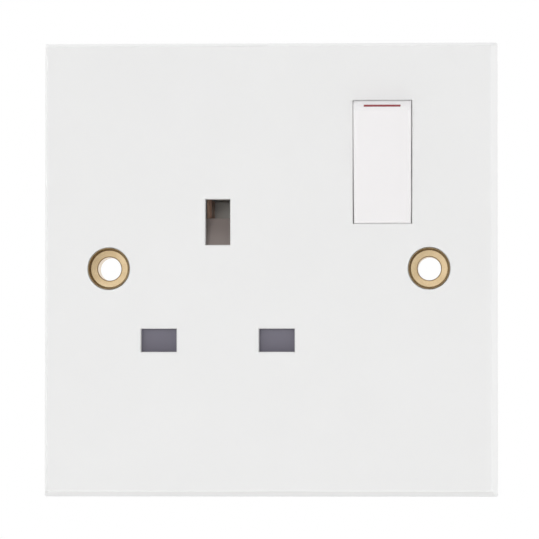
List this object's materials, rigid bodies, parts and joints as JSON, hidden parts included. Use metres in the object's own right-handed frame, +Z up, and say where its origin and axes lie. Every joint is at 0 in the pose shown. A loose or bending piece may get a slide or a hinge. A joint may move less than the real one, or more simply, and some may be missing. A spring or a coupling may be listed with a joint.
{
  "type": "switched socket outlet",
  "caption": "Square white wall socket with shuttered pin apertures, brass fixing eyelets and a rocker switch with a red on mark, with its contacts, terminals and base behind.",
  "frame": {"origin": "centre of the plate's rear rim, midway between the fixing holes", "axes": "+X right and +Z up seen from the front, +Y into the wall"},
  "size_m": [0.086, 0.0274, 0.086],
  "materials": {
    "white_moulding": "moulded urea plastic, satin gloss",
    "white_rocker": "moulded plastic, satin gloss",
    "red_marker": "red plastic bar",
    "brass_eyelet": "drawn brass, bright",
    "brass_strip": "rolled and folded brass",
    "brass_block": "sawn and drilled brass",
    "brass_screw": "turned brass",
    "silver_button": "silver alloy contact face",
    "spring_steel": "drawn spring wire",
    "plated_steel": "zinc plated",
    "grey_shutter": "moulded plastic, matt",
    "pale_cam": "moulded acetal, left in its natural colour",
    "base_plastic": "glass-filled moulded plastic, matt",
    "black_plunger": "moulded acetal"
  },
  "bodies": {
    "housing": {"front_plate": "white_moulding", "eyelet_left": "brass_eyelet", "eyelet_right": "brass_eyelet", "shutter_spring": "spring_steel", "base_moulding": "base_plastic", "base_screw_1": "plated_steel", "base_screw_2": "plated_steel", "base_screw_3": "plated_steel", "earth_contact": "brass_strip", "neutral_contact": "brass_strip", "live_contact": "brass_strip", "earth_strap": "brass_strip", "fixed_contact": "brass_strip", "fixed_contact_tip": "silver_button", "earth_terminal": "brass_block", "neutral_terminal": "brass_block", "live_terminal": "brass_block"},
    "rocker": {"rocker": "white_rocker", "on_marker": "red_marker", "rocker_spring": "spring_steel"},
    "plunger": {"rocker_plunger": "black_plunger"},
    "seesaw": {"moving_contact": "brass_strip", "moving_contact_tip": "silver_button"},
    "shutter": {"shutter": "grey_shutter", "shutter_cam": "pale_cam"},
    "earth_screw": {"earth_terminal_screw": "brass_screw"},
    "neutral_screw": {"neutral_terminal_screw": "brass_screw"},
    "live_screw": {"live_terminal_screw": "brass_screw"}
  },
  "joints": [
    {"name": "rocker_throw", "type": "hinge", "parent": "housing", "child": "rocker", "pos_m": [0.0214, -0.004, 0.02], "axis": [1, 0, 0], "range_deg": [-15, 0]},
    {"name": "seesaw_tilt", "type": "hinge", "parent": "housing", "child": "seesaw", "pos_m": [0.0214, 0.00607, 0.02], "axis": [1, 0, 0], "range_deg": [0, 20]},
    {"name": "plunger_press", "type": "slide", "parent": "rocker", "child": "plunger", "axis": [0, -0.9914, -0.1305], "range_m": [0, 0.0012], "stiffness_N_per_m": 400, "springref_m": -0.002, "deforming": ["rocker_spring"]},
    {"name": "shutter_slide", "type": "slide", "parent": "housing", "child": "shutter", "axis": [0, 0, -1], "range_m": [0, 0.00497], "stiffness_N_per_m": 150, "springref_m": -0.004, "deforming": ["shutter_spring"]},
    {"name": "earth_screw_travel", "type": "slide", "parent": "housing", "child": "earth_screw", "axis": [0, -1, 0], "range_m": [0, 0.0034]},
    {"name": "neutral_screw_travel", "type": "slide", "parent": "housing", "child": "neutral_screw", "axis": [0, -1, 0], "range_m": [0, 0.0034]},
    {"name": "live_screw_travel", "type": "slide", "parent": "housing", "child": "live_screw", "axis": [0, -1, 0], "range_m": [0, 0.0034]}
  ],
  "couplings": [
    {"joint": "seesaw_tilt", "follows": "rocker_throw", "ratio": -1.3333}
  ]
}
